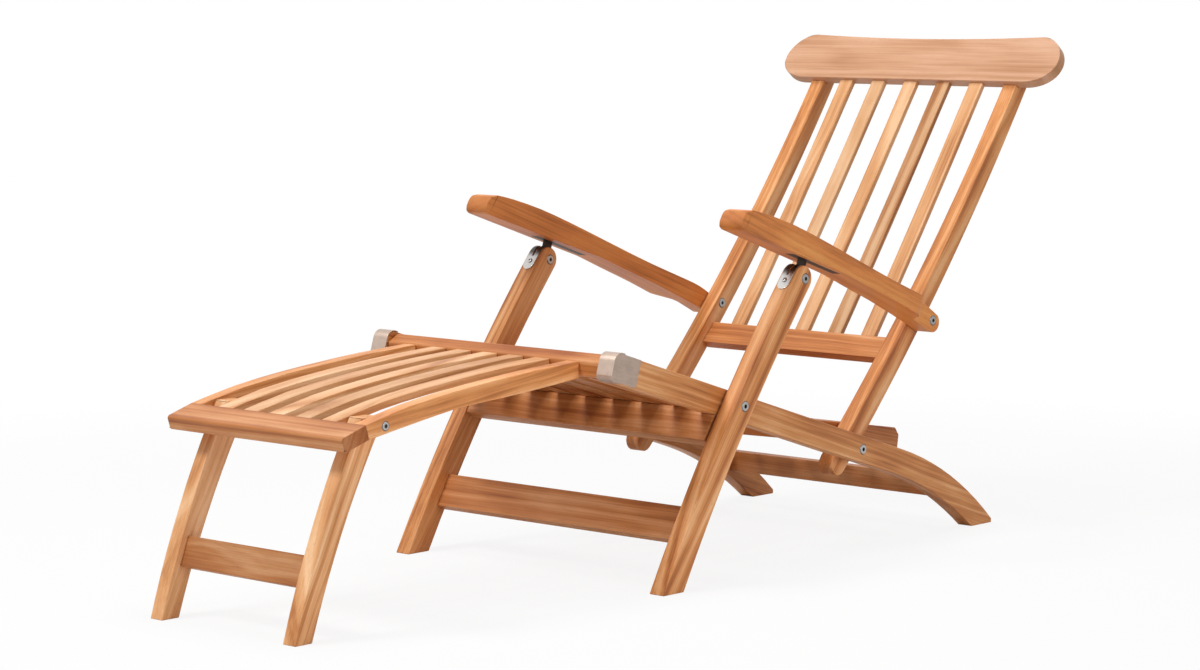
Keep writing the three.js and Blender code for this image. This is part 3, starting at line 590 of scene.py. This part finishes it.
def mark_edges(mesh: bpy.types.Mesh) -> None:
    """Mark the sharp edges of a mesh for easing, those round holes more lightly.

    Args:
        mesh: the mesh, whose corners may lie on each other in places.
    """
    spots: dict[tuple[int, ...], int] = {}
    keys = [tuple(round(part * SPOT_GRAIN) for part in corner.co) for corner in mesh.vertices]
    spot = [spots.setdefault(key, len(spots)) for key in keys]
    places = {number: Vector(key) / SPOT_GRAIN for key, number in spots.items()}
    sides: dict[tuple[int, int], list[Vector]] = {}
    for face in mesh.polygons:
        for start, end in face.edge_keys:
            sides.setdefault(tuple(sorted((spot[start], spot[end]))), []).append(face.normal)
    pairs = {key: faces for key, faces in sides.items() if len(faces) == 2}
    sharp = {key for key, (first, second) in pairs.items() if first.dot(second) < EASED_COSINE}
    ring = list(range(len(spots)))

    def leader(number: int) -> int:
        """Find the number that stands for a ring of joined spots."""
        while ring[number] != number:
            ring[number] = ring[ring[number]]
            number = ring[number]
        return number

    for start, end in sharp:
        ring[leader(start)] = leader(end)
    rings: dict[int, list[Vector]] = {}
    for number in {number for key in sharp for number in key}:
        rings.setdefault(leader(number), []).append(places[number])
    reach = {key: max(span_of(points)) for key, points in rings.items()}
    weights = mesh.attributes.new("bevel_weight_edge", "FLOAT", "EDGE")
    for edge, stored in zip(mesh.edges, weights.data):
        key = tuple(sorted((spot[edge.vertices[0]], spot[edge.vertices[1]])))
        if key in sharp:
            stored.value = HOLE_EASING if reach[leader(key[0])] < HOLE_REACH else 1.0


def span_of(points: list[Vector]) -> list[float]:
    """Measure how far points reach along each axis."""
    return [max(p[axis] for p in points) - min(p[axis] for p in points) for axis in range(3)]


def smooth_edges(piece: bpy.types.Object, width: float, segments: int) -> None:
    """Ease a piece's sharp edges without moving its own corners.

    Args:
        piece: the piece.
        width: how wide the eased edge is, in metres.
        segments: how many steps round it.
    """
    mesh = piece.data
    normals = mesh.attributes.get("custom_normal")
    if normals:
        mesh.attributes.remove(normals)
    mesh.polygons.foreach_set("use_smooth", [True] * len(mesh.polygons))
    mark_edges(mesh)
    whole = {"decimate_type": "DISSOLVE", "angle_limit": FLAT_ANGLE, "delimit": {"NORMAL"}}
    eased = {"limit_method": "WEIGHT", "use_clamp_overlap": False, "miter_outer": "MITER_ARC"}
    steps = (
        ("weld", "WELD", {"merge_threshold": SAME_PLACE}),
        ("whole_faces", "DECIMATE", whole),
        ("even_triangles", "TRIANGULATE", {"ngon_method": "BEAUTY"}),
        ("eased_edges", "BEVEL", {"width": width, "segments": segments, **eased}),
        ("even_shading", "WEIGHTED_NORMAL", {"weight": 100, "keep_sharp": True}),
    )
    for name, kind, settings in steps:
        step = piece.modifiers.new(name, kind)
        for key, value in settings.items():
            setattr(step, key, value)


def dress(piece: bpy.types.Object, material: bpy.types.Material) -> None:
    """Give a piece one material."""
    piece.data.materials.clear()
    piece.data.materials.append(material)


def link(name: str, shape: bmesh.types.BMesh) -> bpy.types.Object:
    """Turn a shape into a piece of the scene.

    Args:
        name: the piece's name.
        shape: its shape, which is used up.

    Returns:
        The piece.
    """
    mesh = bpy.data.meshes.new(name)
    bmesh.ops.recalc_face_normals(shape, faces=shape.faces)
    shape.to_mesh(mesh)
    shape.free()
    piece = bpy.data.objects.new(name, mesh)
    bpy.context.scene.collection.objects.link(piece)
    return piece


def rounded_strap(name: str, strap: bpy.types.Object, screw: bpy.types.Object) -> bpy.types.Object:
    """Copy a strap with its lower end cut to a half circle.

    Args:
        name: the new piece's name.
        strap: the square-ended strap.
        screw: the screw through it, whose axis is square to the strap.

    Returns:
        The rounded strap, still bare.
    """
    shape = bmesh.new()
    shape.from_mesh(strap.data)
    bmesh.ops.remove_doubles(shape, verts=shape.verts, dist=SAME_PLACE)
    pin = Board.of(screw)
    down = pin.along.cross(SIDEWAYS).normalized()
    down *= -math.copysign(1, down.z)
    reach = max((corner.co - pin.middle).dot(down) for corner in shape.verts)
    radius = max(abs((corner.co - pin.middle).dot(SIDEWAYS)) for corner in shape.verts)
    centre = pin.middle + down * (reach - radius)
    for side in (-1, 1):
        for step in range(1, STRAP_STEPS):
            turn = math.pi / 2 * step / STRAP_STEPS
            way = down * math.cos(turn) + SIDEWAYS * side * math.sin(turn)
            everything = [*shape.verts, *shape.edges, *shape.faces]
            cut = bmesh.ops.bisect_plane(
                shape,
                geom=everything,
                plane_co=centre + way * radius,
                plane_no=way,
                clear_outer=True,
            )
            rim = [part for part in cut["geom_cut"] if isinstance(part, bmesh.types.BMEdge)]
            if rim:
                bmesh.ops.edgeloop_fill(shape, edges=rim)
    return link(name, shape)


# Sub-assemblies


@dataclass
class Assembly:
    """What every sub-assembly has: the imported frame's nodes, and how wide its edges are eased."""

    nodes: dict[str, bpy.types.Object]
    edge: float = 1.45 * MM
    edge_steps: int = 3
    steel_edge: float = 0.4 * MM
    steel_edge_steps: int = 2

    def timber(self, names: Iterable[str], finish: Timber, shifts: Iterable[float] = ()) -> None:
        """Dress boards in teak.

        Args:
            names: the boards' nodes.
            finish: the colour of teak.
            shifts: how much lighter or darker each board is; boards past the list take their own.
        """
        given = list(shifts)
        for index, name in enumerate(names):
            piece = self.nodes[name]
            if index < len(given):
                shift = given[index]
            else:
                shift = random.Random(name).uniform(-TONE_SPREAD, TONE_SPREAD)
            dress(piece, finish.value.toned(shift).material(name, Board.of(piece)))
            smooth_edges(piece, self.edge, self.edge_steps)
            log.info("dressed %s in %s teak", name, finish.name.lower())

    def metal(self, names: Iterable[str], finish: Steel, head: Head | None = None) -> None:
        """Dress nodes in steel.

        Args:
            names: the nodes.
            finish: the steel's finish.
            head: the screws' heads, where the nodes are screws.
        """
        for name in names:
            piece = self.nodes[name]
            board = Board.of(piece)
            hub = Hub(board.middle, board.along, head) if head else None
            dress(piece, finish.value.material(name, hub))
            smooth_edges(piece, self.steel_edge, self.steel_edge_steps)
            log.info("dressed %s in steel", name)


def pair(name: str) -> list[str]:
    """Name a left and a right node."""
    return [f"{name}_left", f"{name}_right"]


def numbered(name: str, count: int = 5) -> list[str]:
    """Name a row of numbered nodes."""
    return [f"{name}_{index}" for index in range(1, count + 1)]


@dataclass
class SideFrame(Assembly):
    """The side rails with their caps, bolts and rear stretcher."""

    bolt_head: Head = Head(3.4 * MM, 6.6 * MM)

    def build(self) -> None:
        """Dress the rails and their steel."""
        self.timber(pair("side_rail"), Timber.HONEY, shifts=(0.02, -0.06))
        self.timber(["rear_stretcher"], Timber.ROSE, shifts=(-0.08,))
        self.metal(pair("rail_cap"), Steel.PLATE)
        self.metal(pair("main_washer"), Steel.BRIGHT)
        self.metal([*pair("main_bolt"), *pair("back_bolt")], Steel.BRIGHT, self.bolt_head)


@dataclass
class Seat(Assembly):
    """The seat's front board, bearers and slats."""

    def build(self) -> None:
        """Dress the seat."""
        self.timber(["seat_front_board"], Timber.ROSE, shifts=(-0.12,))
        self.timber([*pair("seat_side_rail"), "seat_rear_batten"], Timber.ROSE)
        # The slats are darker: partly the redder teak of the seat, partly painted shade for their
        # undersides, which lie in shade
        self.timber(numbered("seat_slat"), Timber.ROSE, shifts=(-0.16, -0.26, -0.18, -0.24, -0.2))


@dataclass
class FrontPosts(Assembly):
    """The front posts, their stretcher and the steel on their tops."""

    body: str = "posts"
    screw_head: Head = Head(1.7 * MM, 3.6 * MM)
    bolt_head: Head = Head(3.2 * MM, 6.4 * MM)
    # Shares of the strap's height between which a painted dark reflection darkens it upward
    bend_bounds: tuple[float, float] = (0.52, 0.78)

    def build(self) -> None:
        """Dress the posts."""
        self.timber(pair("front_post"), Timber.HONEY, shifts=(0.12, -0.02))
        self.timber(["post_stretcher"], Timber.ROSE, shifts=(-0.06,))
        for side in ("left", "right"):
            self.strap(side)
        self.metal(pair("strap_screw"), Steel.BRIGHT, self.screw_head)
        self.metal(pair("post_top_bolt"), Steel.BRIGHT, self.bolt_head)

    def strap(self, side: str) -> None:
        """Put a round-ended strap in the place of the plain one."""
        node = f"post_strap_{side}"
        piece = rounded_strap(f"strap_{side}", self.nodes[node], self.nodes[f"strap_screw_{side}"])
        low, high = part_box(node)
        start, end = (low[2] + share * (high[2] - low[2]) for share in self.bend_bounds)
        dress(piece, Steel.BRIGHT.value.material(piece.name, bend=(start, end)))
        smooth_edges(piece, self.steel_edge, self.steel_edge_steps)
        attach(piece, self.body)
        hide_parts(node)
        log.info("built %s", piece.name)


@dataclass
class Backrest(Assembly):
    """The stiles, cross rail, slats and headrest."""

    def build(self) -> None:
        """Dress the back."""
        self.timber(pair("stile"), Timber.HONEY, shifts=(0.06, 0.04))
        self.timber(["back_rail"], Timber.ROSE, shifts=(0.06,))
        self.timber(numbered("back_slat"), Timber.STRAW, shifts=(-0.05, -0.14, -0.06, -0.22, -0.04))
        self.timber(["headrest"], Timber.BLUSH, shifts=(-0.06,))


@dataclass
class Armrests(Assembly):
    """The arms with their brackets and tip bolts."""

    edge: float = 1.2 * MM
    tip_head: Head = Head(3.2 * MM, 6.4 * MM)

    def build(self) -> None:
        """Dress the arms."""
        self.timber(pair("arm"), Timber.AMBER, shifts=(0.02, -0.06))
        # The brackets are near-black steel as painted shade
        self.metal(pair("arm_bracket"), Steel.PAINTED_SHADE_DARK)
        self.metal(pair("arm_tip_bolt"), Steel.BRIGHT, self.tip_head)


@dataclass
class Footrest(Assembly):
    """The arched footrest with its bar, board and leg screws."""

    screw_head: Head = Head(3 * MM, 5.4 * MM)

    def build(self) -> None:
        """Dress the footrest."""
        self.timber(pair("footrest_rail"), Timber.HONEY, shifts=(0.24, 0.1))
        self.timber(numbered("footrest_slat"), Timber.STRAW, shifts=(0.0, -0.05, 0.04, -0.1, 0.02))
        self.timber(["footrest_front_board"], Timber.ROSE, shifts=(0.0,))
        self.timber(["footrest_pivot_bar"], Timber.ROSE, shifts=(0.06,))
        self.metal(pair("footrest_leg_screw"), Steel.BRIGHT, self.screw_head)


@dataclass
class FootrestLegs(Assembly):
    """The footrest's two legs and the board between them."""

    def build(self) -> None:
        """Dress the legs."""
        self.timber(pair("footrest_leg"), Timber.STRAW, shifts=(0.18, 0.14))
        self.timber(["footrest_leg_stretcher"], Timber.ROSE, shifts=(-0.14,))


# Studio


def aimed(data: bpy.types.ID, place: Point, aim: Point) -> bpy.types.Object:
    """Set a lamp or a camera in the scene.

    Args:
        data: the lamp or the camera.
        place: where it stands.
        aim: the point that it faces.

    Returns:
        Its object.
    """
    thing = bpy.data.objects.new(data.name, data)
    thing.location = place
    thing.rotation_euler = (Vector(aim) - Vector(place)).to_track_quat("-Z", "Y").to_euler()
    bpy.context.scene.collection.objects.link(thing)
    return thing


@dataclass(frozen=True)
class Lamp:
    """A soft lamp: where it hangs, its width and height in metres, and its power in watts."""

    name: str
    place: Point
    size: tuple[float, float]
    power: float


@dataclass
class Studio:
    """The floor, the light and the camera.

    The floor shows its own glow to the camera. Near the chair a share of the shadow is left in it,
    which fades out between the two reaches.
    """

    floor_reach: float = 30.0
    floor_colour: Colour = (0.8, 0.8, 0.8)
    floor_roughness: float = 0.9
    white: Colour = (1.0, 1.0, 1.0)
    shadow_share: float = 0.13
    shadow_reaches: tuple[float, float] = (1.1, 2.4)
    ambient: float = 0.34
    lamps: tuple[Lamp, ...] = (
        Lamp("key", (-1.3, -3.0, 4.0), (1.4, 1.2), 122),
        Lamp("overhead", (0.0, 0.2, 3.4), (1.4, 1.4), 45),
        Lamp("fill", (4.4, -0.8, 1.5), (2.2, 1.6), 44),
    )
    lamp_aim: Point = (0, 0, 0.4)
    view_reach: float = 100
    lens: float = 97.52
    camera_place: Point = (3.4776, -3.90575, 0.9182)
    camera_aim: Point = (0.0, -0.04084, 0.36533)

    def build(self) -> None:
        """Build the studio."""
        self.lay_floor()
        self.light_world()
        for lamp in self.lamps:
            self.hang(lamp)
        self.set_camera()

    def lay_floor(self) -> None:
        """Lay a plain floor that is white to the camera and keeps a faint shadow."""
        shape = bmesh.new()
        bmesh.ops.create_grid(shape, x_segments=1, y_segments=1, size=self.floor_reach)
        floor = link("studio_floor", shape)
        graph = Surface("floor_paint")
        graph.surface(Base_Color=self.floor_colour, Roughness=self.floor_roughness)
        graph.surface(Specular_IOR_Level=0.0)
        seen = graph.add("ShaderNodeLightPath", output="Is Camera Ray")
        glow = graph.add("ShaderNodeEmission", None, {"Color": self.white, "Strength": 1.0})
        far = graph.length(graph.place()).eased(*self.shadow_reaches)
        share = far * self.shadow_share + (1 - self.shadow_share)
        paint = graph.add("ShaderNodeMixShader", None, {0: seen * share, 1: graph.lit, 2: glow})
        graph.show(paint)
        dress(floor, graph.material)

    def light_world(self) -> None:
        """Surround the chair with soft light that looks white."""
        world = bpy.data.worlds.new("studio")
        bpy.context.scene.world = world
        world.use_nodes = True
        graph = Graph(world.node_tree)
        rays = graph.node("ShaderNodeLightPath").outputs
        kinds = ("Camera", "Glossy", "Transmission")
        camera, glossy, through = (Value(graph, rays[f"Is {kind} Ray"]) for kind in kinds)
        seen = 1 - (1 - camera) * (1 - glossy) * (1 - through)
        level = seen * (1 - self.ambient) + self.ambient
        light = graph.add("ShaderNodeBackground", None, {"Color": self.white, "Strength": level})
        graph.node("ShaderNodeOutputWorld", {"is_active_output": True}, {"Surface": light})

    def hang(self, lamp: Lamp) -> None:
        """Hang a lamp, hidden from the camera."""
        data = bpy.data.lights.new(lamp.name, "AREA")
        data.shape = "RECTANGLE"
        data.size, data.size_y = lamp.size
        data.energy = lamp.power
        aimed(data, lamp.place, self.lamp_aim).visible_camera = False

    def set_camera(self) -> None:
        """Set the camera where the picture was taken from."""
        data = bpy.data.cameras.new("camera")
        data.lens = self.lens
        data.clip_end = self.view_reach
        bpy.context.scene.camera = aimed(data, self.camera_place, self.camera_aim)


def main() -> None:
    """Dress the frame and build the studio."""
    logging.basicConfig(level=logging.INFO, format="%(message)s")
    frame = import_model()
    nodes = frame["nodes"]
    scene = bpy.context.scene
    scene.view_settings.view_transform = "Standard"
    assemblies = (
        SideFrame(nodes),
        Seat(nodes),
        FrontPosts(nodes),
        Backrest(nodes),
        Armrests(nodes),
        Footrest(nodes),
        FootrestLegs(nodes),
    )
    for assembly in assemblies:
        assembly.build()
    Studio().build()


if __name__ == "__main__":
    main()
